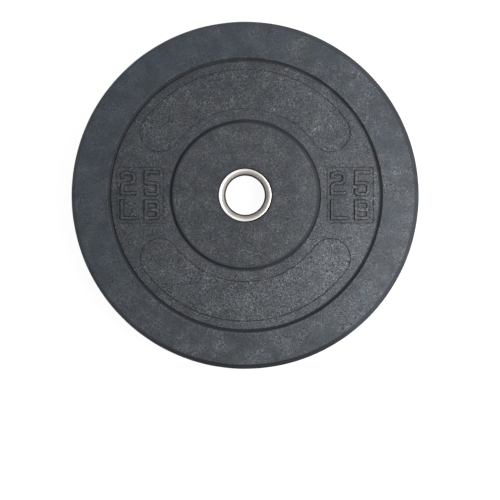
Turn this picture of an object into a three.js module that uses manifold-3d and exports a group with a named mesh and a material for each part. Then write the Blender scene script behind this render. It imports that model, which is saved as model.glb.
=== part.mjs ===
// Rubber bumper plate for an Olympic bar: a crumb rubber moulding round a welded steel insert.
//
// Lengths are millimetres and angles are degrees. The plate lies flat: +Z is the bore's axis, the origin
// is on that axis at the level of the rear rim, and a reader facing the front face sees +X to the right
// and +Y up. Both faces are alike, so every profile is written for the front half, with its heights
// counted from the plane midway between the faces, and mirrored or turned over for the rear.

import * as THREE from 'three';
import { mergeVertices } from 'three/addons/utils/BufferGeometryUtils.js';
import Module from 'manifold-3d';

// Rubber moulding.
const plateDiameter = 450;
const plateThickness = 48;
const edgeChamferWidth = 5.5;
const edgeChamferHeight = 4.5;
const rimWidth = 47.2;
const rimWallRun = 2;
const webDepth = 4.5;
const hubDiameter = 189;
const hubDrop = 1.5;
const hubWallRun = 1.6;

// Grooves pressed into the web along the foot of the hub and along the foot of the rim.
const webGrooveDepth = 1.6;
const webGrooveFloor = 0.8;
const webGrooveRun = 1.5;

// Bean-shaped pads, one above and one below the hub on each face.
const padHubMargin = 13.6;
const padRimMargin = 10.5;
const padEndAngle = 36.5;
const padDepth = 0.5;

// Raised weight marks, left and right of the hub on each face.
const markRelief = 2.2;
const markStroke = 4.4;
const markWidth = 20.3;
const footWidth = 23;
const twoHeight = 30.5;
const fiveHeight = 33;
const letterHeight = 25.8;
const hookHeight = 8.8;
const markColumnGap = 10.7;
const markRowGap = 5;
const twoBendRadius = 6.2;
const fiveBendRadius = 5.4;
const letterBendRadius = 4.2;

// Steel insert.
const boreDiameter = 52;
const sleeveWall = 3;
const collarWidth = 8.8;
const collarDepth = 16;
const flareAngle = 53;
const boreLand = 1;
const lipRound = 2.5;
const lipSink = 0.4;
const lipHeight = 4.5;
const grooveHeight = 4;
const grooveDepth = 2.2;
const anchorMargin = 13;
const anchorThickness = 4;
const anchorHoleDiameter = 24;
const anchorHoleCount = 8;

// Clearances: round every face that another piece seats on, and the line seen round the collar's lip.
const fitClearance = 0.3;
const lipReveal = 0.6;
const cutOverrun = 1;

// How finely the round shapes are drawn.
const turnSegments = 72;
const lipSegments = 6;
const padSegments = 8;
const bendSegments = 3;
const holeSegments = 12;

// Shares that shape the characters: where their waist lies, and how much of the waist's height or of a
// hook's length one bend may take.
const waistShare = 0.5;
const bendLimitShare = 0.48;
const hookBendShare = 0.9;

// Radii and heights that several pieces share. Heights are above the middle plane.
const plateRadius = plateDiameter / 2;
const rimHeight = plateThickness / 2;
const hubHeight = rimHeight - hubDrop;
const webHeight = rimHeight - webDepth;
const rimInnerRadius = plateRadius - rimWidth;
const rimFootRadius = rimInnerRadius - rimWallRun;
const hubRadius = hubDiameter / 2;
const hubFootRadius = hubRadius + hubWallRun;
const webGrooveHeight = webHeight - webGrooveDepth;
const webInnerRadius = hubFootRadius + webGrooveFloor + webGrooveRun;
const webOuterRadius = rimFootRadius - webGrooveFloor - webGrooveRun;

const boreRadius = boreDiameter / 2;
const sleeveRadius = boreRadius + sleeveWall;
const collarRadius = boreRadius + collarWidth;
const lipCrestHeight = hubHeight - lipSink;
const grooveTop = lipCrestHeight - lipHeight;
const grooveBottom = grooveTop - grooveHeight;
const grooveRadius = collarRadius - grooveDepth;
const collarBottom = hubHeight - collarDepth;
const flareSlope = THREE.MathUtils.degToRad(flareAngle);
const flareTopRadius = collarRadius - lipRound * (1 + Math.sin(flareSlope));
const flareTop = lipCrestHeight - lipRound * (1 - Math.cos(flareSlope));
const flareBottom = flareTop - (flareTopRadius - boreRadius) * Math.tan(flareSlope);
const shoulderHeight = flareBottom - boreLand;
const sleeveSeatRadius = sleeveRadius + fitClearance;

const anchorRadius = hubRadius - anchorMargin;
const anchorHoleRadius = anchorHoleDiameter / 2;
const anchorHoleCircleRadius = (sleeveSeatRadius + anchorRadius) / 2;

const wasm = await Module();
wasm.setup();

const rubber = { color: 0x3a3e42, roughness: 0.82, metalness: 0 };
const stainlessSteel = { color: 0xc8c4bc, roughness: 0.28, metalness: 1 };
const mildSteel = { color: 0x6f7174, roughness: 0.55, metalness: 1 };

// Keeps only the positions of a geometry and merges its shared vertices, so that its surface is closed.
function closed(geometry) {
  geometry.deleteAttribute('normal');
  geometry.deleteAttribute('uv');
  return mergeVertices(geometry);
}

function solidOf(geometry) {
  const surface = closed(geometry);
  const mesh = new wasm.Mesh({
    numProp: 3,
    vertProperties: new Float32Array(surface.attributes.position.array),
    triVerts: new Uint32Array(surface.index.array),
  });
  return new wasm.Manifold(mesh);
}

function geometryOf(solid) {
  const mesh = solid.getMesh();
  const geometry = new THREE.BufferGeometry();
  geometry.setAttribute('position', new THREE.BufferAttribute(mesh.vertProperties, mesh.numProp));
  geometry.setIndex(new THREE.BufferAttribute(mesh.triVerts, 1));
  return geometry;
}

// Turns a closed profile of [radius, height] points about the bore's axis. The profile goes clockwise
// as drawn with the radius to the right, and the lathe takes it the other way round.
function turned(profile) {
  const points = [...profile, profile[0]].map(([radius, height]) => new THREE.Vector2(radius, height));
  const geometry = new THREE.LatheGeometry(points.reverse(), turnSegments);
  geometry.rotateX(Math.PI / 2);
  return closed(geometry);
}

// Completes the front half of a profile with its mirror image below the middle plane.
function withMirror(frontHalf) {
  const rearHalf = frontHalf.map(([radius, height]) => [radius, -height]).reverse();
  return [...frontHalf, ...rearHalf];
}

// An outline stood up along Z between two heights.
function prism(shape, bottom, top, curveSegments) {
  const geometry = new THREE.ExtrudeGeometry(shape, {
    depth: top - bottom,
    bevelEnabled: false,
    curveSegments,
  });
  geometry.translate(0, 0, bottom);
  return geometry;
}

// The same feature on the front face and, turned over about the Y axis, on the rear face.
function onBothFaces(geometry) {
  return [geometry, geometry.clone().rotateY(Math.PI)];
}

function anchorHoleCentres() {
  return Array.from({ length: anchorHoleCount }, (_, i) => {
    const angle = (2 * Math.PI * i) / anchorHoleCount;
    return new THREE.Vector2(
      anchorHoleCircleRadius * Math.cos(angle),
      anchorHoleCircleRadius * Math.sin(angle),
    );
  });
}

// The moulding's front half: the slot for the anchor disc, the seats of the sleeve and the collar with
// the ridge that fills the collar's groove, then the hub, the web between its two grooves, the rim and the
// chamfered edge.
function rubberProfile() {
  const slotHeight = anchorThickness / 2 + fitClearance;
  const seatRadius = collarRadius + fitClearance;
  const ridgeRadius = grooveRadius + fitClearance;
  const mouthRadius = collarRadius + lipReveal;
  return withMirror([
    [anchorRadius + fitClearance, slotHeight],
    [sleeveSeatRadius, slotHeight],
    [sleeveSeatRadius, collarBottom - fitClearance],
    [seatRadius, collarBottom - fitClearance],
    [seatRadius, grooveBottom + fitClearance],
    [ridgeRadius, grooveBottom + fitClearance],
    [ridgeRadius, grooveTop - fitClearance],
    [mouthRadius, grooveTop - fitClearance],
    [mouthRadius, hubHeight],
    [hubRadius, hubHeight],
    [hubFootRadius, webGrooveHeight],
    [hubFootRadius + webGrooveFloor, webGrooveHeight],
    [webInnerRadius, webHeight],
    [webOuterRadius, webHeight],
    [rimFootRadius - webGrooveFloor, webGrooveHeight],
    [rimFootRadius, webGrooveHeight],
    [rimInnerRadius, rimHeight],
    [plateRadius - edgeChamferWidth, rimHeight],
    [plateRadius, rimHeight - edgeChamferHeight],
  ]);
}

// The rubber that fills the anchor disc's holes and ties the two halves of the hub together.
function rubberKeys() {
  const reach = anchorThickness / 2 + fitClearance + cutOverrun;
  return anchorHoleCentres().map((centre) => {
    const outline = new THREE.Shape();
    outline.absarc(centre.x, centre.y, anchorHoleRadius - fitClearance, 0, 2 * Math.PI);
    return prism(outline, -reach, reach, holeSegments);
  });
}

// A pad is a band of the web between two arcs about the bore, closed by a half circle at each end.
function padCutter() {
  const innerRadius = webInnerRadius + padHubMargin;
  const outerRadius = webOuterRadius - padRimMargin;
  const middleRadius = (innerRadius + outerRadius) / 2;
  const endRadius = (outerRadius - innerRadius) / 2;
  const start = THREE.MathUtils.degToRad(padEndAngle);
  const end = Math.PI - start;
  const outline = new THREE.Shape();
  outline.absarc(0, 0, outerRadius, start, end);
  outline.absarc(
    middleRadius * Math.cos(end),
    middleRadius * Math.sin(end),
    endRadius,
    end,
    end + Math.PI,
  );
  outline.absarc(0, 0, innerRadius, end, start, true);
  outline.absarc(
    middleRadius * Math.cos(start),
    middleRadius * Math.sin(start),
    endRadius,
    start + Math.PI,
    start + 2 * Math.PI,
  );
  return prism(outline, webHeight - padDepth, webHeight + cutOverrun, padSegments);
}

// Centre lines of a character's strokes in a box of the given width and height. A point with a third entry
// is a bend of that radius, and every other one is an end or a sharp corner.
function centreLines(character, width, height) {
  const waist = height * waistShare;
  const hook = hookHeight - markStroke;
  const hookBend = Math.min(twoBendRadius, fiveBendRadius, hook * hookBendShare);
  const bendLimit = waist * bendLimitShare;
  const twoBend = Math.min(twoBendRadius, bendLimit);
  const fiveBend = Math.min(fiveBendRadius, bendLimit);
  const letterBend = Math.min(letterBendRadius, bendLimit);
  const lines = {
    2: [
      [
        [0, height - hook],
        [0, height, hookBend],
        [width, height, twoBend],
        [width, waist, twoBend],
        [0, waist, twoBend],
        [0, 0],
        [width, 0],
      ],
    ],
    5: [
      [
        [width, height],
        [0, height],
        [0, waist],
        [width, waist, fiveBend],
        [width, 0, fiveBend],
        [0, 0, hookBend],
        [0, hook],
      ],
    ],
    L: [
      [
        [0, height],
        [0, 0],
        [width, 0],
      ],
    ],
    B: [
      [
        [0, 0],
        [0, height],
      ],
      [
        [0, height],
        [width, height, letterBend],
        [width, waist, letterBend],
        [0, waist],
      ],
      [
        [0, waist],
        [width, waist, letterBend],
        [width, 0, letterBend],
        [0, 0],
      ],
    ],
  };
  return lines[character];
}

// Replaces each bend of a centre line with a curve that starts and ends one bend radius away.
function bentLine(points) {
  const corners = points.map(([x, y]) => new THREE.Vector2(x, y));
  const bends = points.map(([, , bend = 0]) => bend);
  const towards = (from, to, bend) => from.clone().add(to.clone().sub(from).setLength(bend));
  const path = new THREE.Path().moveTo(corners[0].x, corners[0].y);
  corners.slice(1).forEach((corner, i) => {
    const bend = bends[i + 1];
    const enter = towards(corner, corners[i], bend);
    path.lineTo(enter.x, enter.y);
    if (bend > 0) {
      const leave = towards(corner, corners[i + 2], bend);
      path.quadraticCurveTo(corner.x, corner.y, leave.x, leave.y);
    }
  });
  return path.getPoints(bendSegments);
}

// The outline of a stroke: its centre line set off by half a stroke to each side, with mitred corners,
// and run on by half a stroke at both ends.
function strokeOutline(centreLine) {
  const half = markStroke / 2;
  const last = centreLine.length - 1;
  const directions = centreLine.slice(1).map((point, i) => point.clone().sub(centreLine[i]).normalize());
  const line = centreLine.map((point) => point.clone());
  line[0].addScaledVector(directions[0], -half);
  line[last].addScaledVector(directions[last - 1], half);
  const offsets = line.map((_, i) => {
    const before = directions[Math.max(i - 1, 0)];
    const after = directions[Math.min(i, last - 1)];
    const across = new THREE.Vector2(-before.y - after.y, before.x + after.x);
    return across.multiplyScalar(half / (1 + before.dot(after)));
  });
  const left = line.map((point, i) => point.clone().add(offsets[i]));
  const right = line.map((point, i) => point.clone().sub(offsets[i]));
  return new THREE.Shape([...right, ...left.reverse()]);
}

// One raised character. Its box starts at the given x and is centred on the given y.
function characterPrisms({ character, boxWidth, boxHeight }, x, y) {
  const width = boxWidth - markStroke;
  const height = boxHeight - markStroke;
  return centreLines(character, width, height).map((line) => {
    const outline = strokeOutline(bentLine(line));
    const stroke = prism(outline, webHeight - cutOverrun, webHeight + markRelief, bendSegments);
    return stroke.translate(x + markStroke / 2, y - height / 2, 0);
  });
}

// The weight mark is two rows of two characters, centred on the middle of the web at each side. The L has
// a longer foot than the other characters, which reaches into the gap between the columns.
function markPrisms() {
  const webMiddleRadius = (webInnerRadius + webOuterRadius) / 2;
  const columnPitch = markWidth + markColumnGap;
  const blockWidth = markWidth + columnPitch;
  const blockHeight = fiveHeight + markRowGap + letterHeight;
  const digits = [
    { character: '2', boxWidth: markWidth, boxHeight: twoHeight },
    { character: '5', boxWidth: markWidth, boxHeight: fiveHeight },
  ];
  const letters = [
    { character: 'L', boxWidth: footWidth, boxHeight: letterHeight },
    { character: 'B', boxWidth: markWidth, boxHeight: letterHeight },
  ];
  const rows = [
    { row: digits, y: (blockHeight - fiveHeight) / 2 },
    { row: letters, y: (letterHeight - blockHeight) / 2 },
  ];
  return [-webMiddleRadius, webMiddleRadius].flatMap((centre) =>
    rows.flatMap(({ row, y }) =>
      row.flatMap((box, column) =>
        characterPrisms(box, centre - blockWidth / 2 + column * columnPitch, y),
      ),
    ),
  );
}

function rubberBody() {
  const pad = padCutter();
  const pads = [pad, pad.clone().rotateZ(Math.PI)].flatMap(onBothFaces);
  const marks = markPrisms().flatMap(onBothFaces);
  let body = solidOf(turned(rubberProfile()));
  for (const cutter of pads) {
    body = body.subtract(solidOf(cutter));
  }
  for (const piece of [...rubberKeys(), ...marks]) {
    body = body.add(solidOf(piece));
  }
  return geometryOf(body);
}

// A collar is a stainless ring with a flared mouth that guides the bar in. The flare runs straight into
// the rounded lip, which shows in the hub. Rubber grips the groove below the lip, and the collar's socket
// fits over the sleeve's end.
function collar() {
  const lip = Array.from({ length: lipSegments + 1 }, (_, i) => {
    const angle = THREE.MathUtils.lerp(-flareSlope, Math.PI / 2, i / lipSegments);
    return [
      collarRadius - lipRound * (1 - Math.sin(angle)),
      lipCrestHeight - lipRound * (1 - Math.cos(angle)),
    ];
  });
  return turned([
    [boreRadius, shoulderHeight],
    [boreRadius, flareBottom],
    ...lip,
    [collarRadius, grooveTop],
    [grooveRadius, grooveTop],
    [grooveRadius, grooveBottom],
    [collarRadius, grooveBottom],
    [collarRadius, collarBottom],
    [sleeveSeatRadius, collarBottom],
    [sleeveSeatRadius, shoulderHeight],
  ]);
}

// The sleeve is a plain tube that ends just short of the shoulder in each collar.
function boreSleeve() {
  const end = shoulderHeight - fitClearance;
  return turned(
    withMirror([
      [boreRadius, end],
      [sleeveRadius, end],
    ]),
  );
}

// The anchor disc sits on the middle of the sleeve, with a ring of holes for the rubber to grow through.
function anchorDisc() {
  const outline = new THREE.Shape();
  outline.absarc(0, 0, anchorRadius, 0, 2 * Math.PI);
  const sleeveHole = new THREE.Path();
  sleeveHole.absarc(0, 0, sleeveSeatRadius, 0, 2 * Math.PI);
  const keyHoles = anchorHoleCentres().map((centre) => {
    const hole = new THREE.Path();
    hole.absarc(centre.x, centre.y, anchorHoleRadius, 0, 2 * Math.PI);
    return new THREE.Shape(hole.getPoints(holeSegments));
  });
  outline.holes.push(sleeveHole, ...keyHoles);
  return closed(prism(outline, -anchorThickness / 2, anchorThickness / 2, turnSegments / 2));
}

function piece(name, geometry, finish) {
  const mesh = new THREE.Mesh(geometry, new THREE.MeshStandardMaterial(finish));
  mesh.name = name;
  return mesh;
}

const frontCollar = piece('front_collar', collar(), stainlessSteel);
const rearCollar = piece('rear_collar', collar(), stainlessSteel);
rearCollar.rotation.x = Math.PI;

const insert = new THREE.Group();
insert.add(frontCollar, rearCollar);
insert.add(piece('bore_sleeve', boreSleeve(), stainlessSteel));
insert.add(piece('anchor_disc', anchorDisc(), mildSteel));

const plate = new THREE.Group();
plate.position.z = plateThickness / 2;
plate.add(piece('rubber_body', rubberBody(), rubber), insert);

const group = new THREE.Group();
group.add(plate);

export default group;
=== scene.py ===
# %% [markdown]
# # A rubber bumper plate
# The plate is one crumb rubber moulding round a welded steel insert, made to be dropped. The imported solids
# are the frame of this scene: they fix every size and place. Each step below takes one piece of the plate,
# gives it the surface that the eye sees, and leaves it exactly where its solid is.

import bmesh
import bpy
import numpy as np
from mathutils import Matrix, Vector


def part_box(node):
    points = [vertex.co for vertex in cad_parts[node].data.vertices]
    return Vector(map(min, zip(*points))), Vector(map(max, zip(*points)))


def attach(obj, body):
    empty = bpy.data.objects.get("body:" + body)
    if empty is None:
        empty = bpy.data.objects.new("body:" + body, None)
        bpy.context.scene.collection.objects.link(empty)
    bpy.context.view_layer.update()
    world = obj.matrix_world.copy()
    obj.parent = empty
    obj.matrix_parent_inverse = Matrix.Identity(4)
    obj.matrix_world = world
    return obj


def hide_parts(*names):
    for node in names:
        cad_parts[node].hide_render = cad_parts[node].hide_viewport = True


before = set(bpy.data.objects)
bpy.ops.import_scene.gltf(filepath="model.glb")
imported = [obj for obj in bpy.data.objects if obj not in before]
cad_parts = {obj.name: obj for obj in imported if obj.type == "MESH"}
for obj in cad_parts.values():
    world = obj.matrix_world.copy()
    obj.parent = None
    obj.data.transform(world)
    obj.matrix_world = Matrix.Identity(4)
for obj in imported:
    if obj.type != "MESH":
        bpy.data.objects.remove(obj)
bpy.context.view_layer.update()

print("solids in the frame:", ", ".join(sorted(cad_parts)))

# %% [markdown]
# ## Millimetres
# Blender counts in metres, but a moulding is thought of in millimetres. All shapes are therefore worked out
# in millimetres and made metres once, when a mesh is built. The outer sizes are read from the solids.

# %% Sizes read from the frame
MM = 0.001


def box_in_mm(node):
    """Lowest and highest corner of a solid, in millimetres."""
    low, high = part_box(node)
    return np.array(low) / MM, np.array(high) / MM


rubber_low, rubber_high = box_in_mm("rubber_body")
collar_low, collar_high = box_in_mm("front_collar")
sleeve_low, sleeve_high = box_in_mm("bore_sleeve")
disc_low, disc_high = box_in_mm("anchor_disc")

MIDDLE = (rubber_low[2] + rubber_high[2]) / 2
PLATE_RADIUS = rubber_high[0]
RIM_HEIGHT = rubber_high[2] - MIDDLE
COLLAR_RADIUS = collar_high[0]
LIP_HEIGHT = collar_high[2] - MIDDLE
COLLAR_BOTTOM = collar_low[2] - MIDDLE
SLEEVE_RADIUS = sleeve_high[0]
SLEEVE_END = sleeve_high[2] - MIDDLE
DISC_RADIUS = disc_high[0]
DISC_HALF = disc_high[2] - MIDDLE
print(f"plate {2 * PLATE_RADIUS:.1f} mm across and {2 * RIM_HEIGHT:.1f} mm thick")

# %% [markdown]
# ## From a section to a ring
# Everything round on the plate is a section carried about the bore's axis. A section is a closed outline of
# [radius, height] points. Real rubber and turned steel have no knife edges, so each corner of the outline
# is first bent into a small curve, and long straight sides get extra points that can be moved later on.

# %% Outlines
TINY = 1e-6


def rounded(corners, steps=5):
    """Rounds the corners of an outline.

    A row of corners is a point and the length that its bend takes from both sides. The bend is the curve
    (1 - t)^2 A + 2 t (1 - t) C + t^2 B: C is the corner, and A and B lie on the sides before and after it.
    A length of zero leaves the corner sharp, so an open line has zero at its two ends.
    """
    point, reach = corners[:, :2], corners[:, 2:]

    def along(neighbour):
        side = neighbour - point
        return point + reach * side / np.linalg.norm(side, axis=1, keepdims=True)

    start, end = along(np.roll(point, 1, axis=0)), along(np.roll(point, -1, axis=0))
    t = np.linspace(0, 1, steps)[:, None, None]
    bends = (1 - t) ** 2 * start + 2 * t * (1 - t) * point + t**2 * end
    line = bends.transpose(1, 0, 2).reshape(-1, 2)
    return line[np.linalg.norm(line - np.roll(line, 1, axis=0), axis=1) > TINY]


def refined(outline, longest):
    """Splits each side of a closed outline evenly, so that no part is longer than that side's own limit."""
    sides = np.roll(outline, -1, axis=0) - outline
    counts = np.ceil(np.linalg.norm(sides, axis=1) / longest).astype(int)
    which = np.repeat(np.arange(len(outline)), counts)
    first = np.repeat(np.cumsum(counts) - counts, counts)
    share = (np.arange(counts.sum()) - first) / counts[which]
    return outline[which] + share[:, None] * sides[which]


def mirrored(front_half):
    """Completes the front half of a section with its mirror image below the middle plane."""
    rear_half = front_half[::-1].copy()
    rear_half[:, 1] *= -1
    return np.vstack([front_half, rear_half])


# %% [markdown]
# A section becomes a ring when it is copied round the axis at even angles. That gives a grid of points,
# with a row for each point of the section and a column for each angle, and the cells of the grid are the
# faces. The grid closes on itself both ways, so the ring has no seam and no open end.

# %% Grids and pieces
def turned(section, sides):
    """A grid of points, section by sides: x = r cos a, y = r sin a, z = height above the middle plane."""
    angle = np.arange(sides) * 2 * np.pi / sides
    radius, height = section[:, :1], section[:, 1:2]
    return np.stack([radius * np.cos(angle), radius * np.sin(angle), height + 0 * angle], axis=-1)


def closed_grid_faces(rows, columns):
    """Four corners for each cell of a grid that closes on itself both ways, like a ring."""
    row, column = np.mgrid[0:rows, 0:columns]
    next_row, next_column = (row + 1) % rows, (column + 1) % columns
    corners = [row * columns + column, next_row * columns + column]
    corners += [next_row * columns + next_column, row * columns + next_column]
    return np.stack(corners, axis=-1).reshape(-1, 4)


def object_from(name, points, faces):
    """A mesh object at the origin from points in millimetres above the middle plane."""
    lifted = (points.reshape(-1, 3) + [0, 0, MIDDLE]) * MM
    mesh = bpy.data.meshes.new(name)
    mesh.from_pydata(lifted, [], faces)
    piece = bpy.data.objects.new(name, mesh)
    bpy.context.scene.collection.objects.link(piece)
    return piece


def ring_object(name, grid):
    return object_from(name, grid, closed_grid_faces(*grid.shape[:2]))


def measured(piece):
    """Prints a piece's triangles, open edges and enclosed space, which is negative if it is inside out."""
    surface = bmesh.new()
    surface.from_mesh(piece.data)
    triangles = sum(len(face.verts) - 2 for face in surface.faces)
    open_edges = sum(not edge.is_manifold for edge in surface.edges)
    litres = surface.calc_volume(signed=True) * 1000
    print(f"{piece.name}: {triangles} triangles, {open_edges} open edges, {litres:.4f} litres")
    surface.free()


# %% [markdown]
# ## The section of the rubber
# From the bore outwards, each face of the plate has a flat hub, a recessed web and a broad rim that takes
# the fall. A small groove in the web runs along the foot of both steps. Inside, the rubber wraps the steel:
# a slot round the anchor disc, a seat for the sleeve and the collar, and a ridge that locks into the
# collar's groove. All of this could be cut from a plain disc, step by step, but one closed outline keeps it
# a single moulding and shows every size in one list.

# %% Section of the rubber
RIM_WIDTH = 47.2
RIM_WALL_RUN = 2.0
WEB_DEPTH = 4.5
HUB_RADIUS = 94.5
HUB_DROP = 1.5
HUB_WALL_RUN = 1.6
WEB_GROOVE_DEPTH = 1.6
WEB_GROOVE_FLOOR = 0.8
WEB_GROOVE_RUN = 1.5
EDGE_CHAMFER_WIDTH = 5.5
EDGE_CHAMFER_HEIGHT = 4.5
EDGE_BEND = 1.6
CREST_BEND = 0.9
GROOVE_BEND = 0.35
MOUTH_BEND = 0.5

FIT = 0.3
LIP_REVEAL = 0.6
LIP_DEPTH = 4.5
GROOVE_WIDTH = 4.0
GROOVE_DEPTH = 2.2

HUB_HEIGHT = RIM_HEIGHT - HUB_DROP
WEB_HEIGHT = RIM_HEIGHT - WEB_DEPTH
HUB_FOOT = HUB_RADIUS + HUB_WALL_RUN
WEB_GROOVE_HEIGHT = WEB_HEIGHT - WEB_GROOVE_DEPTH
WEB_INNER = HUB_FOOT + WEB_GROOVE_FLOOR + WEB_GROOVE_RUN
RIM_INNER = PLATE_RADIUS - RIM_WIDTH
RIM_FOOT = RIM_INNER - RIM_WALL_RUN
WEB_OUTER = RIM_FOOT - WEB_GROOVE_FLOOR - WEB_GROOVE_RUN
MOUTH_RADIUS = COLLAR_RADIUS + LIP_REVEAL
GROOVE_TOP = LIP_HEIGHT - LIP_DEPTH
GROOVE_BOTTOM = GROOVE_TOP - GROOVE_WIDTH
GROOVE_RADIUS = COLLAR_RADIUS - GROOVE_DEPTH
SLOT_HEIGHT = DISC_HALF + FIT

RUBBER_SIDES = 360
FACE_SPACING = 3.5
HIDDEN_SPACING = 200.0


def in_slot(points):
    """Which points of a section lie in the slot round the anchor disc."""
    return (points[:, 0] < HUB_RADIUS) & (abs(points[:, 1]) < SLOT_HEIGHT + TINY)


def rubber_section():
    """Closed section of the moulding: hidden seats from the slot to the mouth, then the outer face."""
    seats = [
        [DISC_RADIUS + FIT, SLOT_HEIGHT, 0],
        [SLEEVE_RADIUS + FIT, SLOT_HEIGHT, 0],
        [SLEEVE_RADIUS + FIT, COLLAR_BOTTOM - FIT, 0],
        [COLLAR_RADIUS + FIT, COLLAR_BOTTOM - FIT, 0],
        [COLLAR_RADIUS + FIT, GROOVE_BOTTOM + FIT, 0],
        [GROOVE_RADIUS + FIT, GROOVE_BOTTOM + FIT, 0],
        [GROOVE_RADIUS + FIT, GROOVE_TOP - FIT, 0],
        [MOUTH_RADIUS, GROOVE_TOP - FIT, 0],
    ]
    face = [
        [MOUTH_RADIUS, HUB_HEIGHT, MOUTH_BEND],
        [HUB_RADIUS, HUB_HEIGHT, CREST_BEND],
        [HUB_FOOT, WEB_GROOVE_HEIGHT, GROOVE_BEND],
        [HUB_FOOT + WEB_GROOVE_FLOOR, WEB_GROOVE_HEIGHT, GROOVE_BEND],
        [WEB_INNER, WEB_HEIGHT, MOUTH_BEND],
        [WEB_OUTER, WEB_HEIGHT, MOUTH_BEND],
        [RIM_FOOT - WEB_GROOVE_FLOOR, WEB_GROOVE_HEIGHT, GROOVE_BEND],
        [RIM_FOOT, WEB_GROOVE_HEIGHT, GROOVE_BEND],
        [RIM_INNER, RIM_HEIGHT, CREST_BEND],
        [PLATE_RADIUS - EDGE_CHAMFER_WIDTH, RIM_HEIGHT, CREST_BEND],
        [PLATE_RADIUS, RIM_HEIGHT - EDGE_CHAMFER_HEIGHT, EDGE_BEND],
    ]
    outline = rounded(mirrored(np.array(seats + face)))
    middle = (outline + np.roll(outline, -1, axis=0)) / 2
    hidden = in_slot(middle) | (middle[:, 0] < MOUTH_RADIUS + TINY)
    return refined(outline, np.where(hidden, HIDDEN_SPACING, FACE_SPACING))


print(f"the rubber's section has {len(rubber_section())} points")


# %% [markdown]
# Pressed crumb never comes out dead flat. The outer face sinks and swells by a tenth of a millimetre over a
# few centimetres, which the light shows at a slant. A sum of sine waves in random directions gives such a
# surface at any point of space, so the two sides of a seam always agree. It only ever sinks in, never out.

# %% Slow waves in the rubber
WAVE_DEPTH = 0.14
WAVE_COUNT = 48
WAVE_LENGTHS = (14.0, 70.0)
WAVE_SEED = 7
WAVE_START = 3.0


def waves(points):
    """Sum of sin(2 pi p.d / length + phase) over random directions d, divided by its own spread."""
    random = np.random.default_rng(WAVE_SEED)
    direction = random.normal(size=(3, WAVE_COUNT))
    direction /= np.linalg.norm(direction, axis=0) * random.uniform(*WAVE_LENGTHS, WAVE_COUNT)
    phase = random.uniform(0, 2 * np.pi, WAVE_COUNT)
    return np.sin(2 * np.pi * points @ direction + phase).sum(axis=-1) / np.sqrt(WAVE_COUNT / 2)


def sunk(points):
    """How far the face lies under its nominal surface, from 0 to WAVE_DEPTH."""
    return WAVE_DEPTH * (1 + np.tanh(waves(points))) / 2


def rubber_grid():
    """The turned section, moved inwards by the waves: point - n * sunk, with n square to the section."""
    section = rubber_section()
    grid = turned(section, RUBBER_SIDES)
    tangent = np.roll(section, -1, axis=0) - np.roll(section, 1, axis=0)
    normal = np.column_stack([-tangent[:, 1], tangent[:, 0]])
    normal /= np.linalg.norm(normal, axis=1, keepdims=True)
    outside = np.clip((section[:, 0] - MOUTH_RADIUS) / WAVE_START, 0, 1)
    depth = sunk(grid) * np.where(in_slot(section), 0, outside)[:, None]
    radial = grid * [1, 1, 0] / section[:, :1, None]
    outward = radial * normal[:, :1, None] + np.array([0, 0, 1]) * normal[:, 1:, None]
    return grid - outward * depth[..., None]


rubber = ring_object("rubber_moulding", rubber_grid())
measured(rubber)

# %% [markdown]
# ## Cutting and adding
# The characters, the pads and the fine lines round them have outlines of their own that cut across the
# rings of the turned face. Bending the grid to follow them would be hard, so each is a small closed mesh of
# its own, and a Boolean modifier adds it to the moulding or takes it away. The result is one closed skin.

# %% Boolean helper
def combined(piece, other, operation):
    """Adds or cuts away another closed mesh, keeps the result as the piece's own mesh, drops the other."""
    modifier = piece.modifiers.new(operation.lower(), "BOOLEAN")
    modifier.operation = operation
    modifier.solver = "MANIFOLD"
    modifier.object = other
    evaluated = piece.evaluated_get(bpy.context.evaluated_depsgraph_get())
    result = bpy.data.meshes.new_from_object(evaluated)
    piece.modifiers.clear()
    piece.data = result
    bpy.data.objects.remove(other)


def joined(name, parts):
    """One mesh object from a list of (points, faces) pairs that don't touch each other."""
    offsets = np.cumsum([0] + [len(points) for points, _ in parts])
    points = np.vstack([points for points, _ in parts])
    faces = []
    for (_, part_faces), offset in zip(parts, offsets):
        faces += [[corner + offset for corner in face] for face in part_faces]
    return object_from(name, points, faces)


def turned_over(points):
    """The same feature on the rear face: half a turn about the Y axis."""
    return points * [-1, 1, -1]


# %% [markdown]
# ## Pads
# Each face has two bean-shaped pads, above and below the hub. A pad is a shallow recess with a finer line
# pressed round its edge, where the mould's insert met the mould. Its outline is an arc about the bore,
# thickened to both sides and closed by half circles, so every point has a distance from the arc. The
# section of the cutter is a function of that distance alone.

# %% Pad cutters
PAD_HUB_MARGIN = 13.6
PAD_RIM_MARGIN = 10.5
PAD_END_ANGLE = np.radians(36.5)
PAD_DEPTH = 0.35
LINE_DEPTH = 0.6
LINE_WIDTH = 1.0
CUT_OVERRUN = 1.0
PAD_ARC_STEPS = 72
PAD_END_STEPS = 24
PAD_FLOOR_STEPS = 9

PAD_INNER = WEB_INNER + PAD_HUB_MARGIN
PAD_OUTER = WEB_OUTER - PAD_RIM_MARGIN
PAD_MIDDLE = (PAD_INNER + PAD_OUTER) / 2
PAD_HALF_WIDTH = (PAD_OUTER - PAD_INNER) / 2


def pad_loop():
    """Points of the pad's middle arc, passed on both sides, and the direction away from it at each point.

    Along the outer side the direction is the arc's own angle, along the inner side it is half a turn more,
    and at each end it swings through half a turn while the point stays.
    """
    start, end = PAD_END_ANGLE, np.pi - PAD_END_ANGLE
    there, swing = np.linspace(start, end, PAD_ARC_STEPS + 1), np.linspace(0, np.pi, PAD_END_STEPS + 1)[1:-1]
    at_end, at_start = np.full(len(swing), end), np.full(len(swing), start)
    base = np.concatenate([there, at_end, there[::-1], at_start])
    away = np.concatenate([there, end + swing, there[::-1] + np.pi, start + np.pi + swing])
    centre = PAD_MIDDLE * np.column_stack([np.cos(base), np.sin(base)])
    return centre, np.column_stack([np.cos(away), np.sin(away)])


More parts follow.
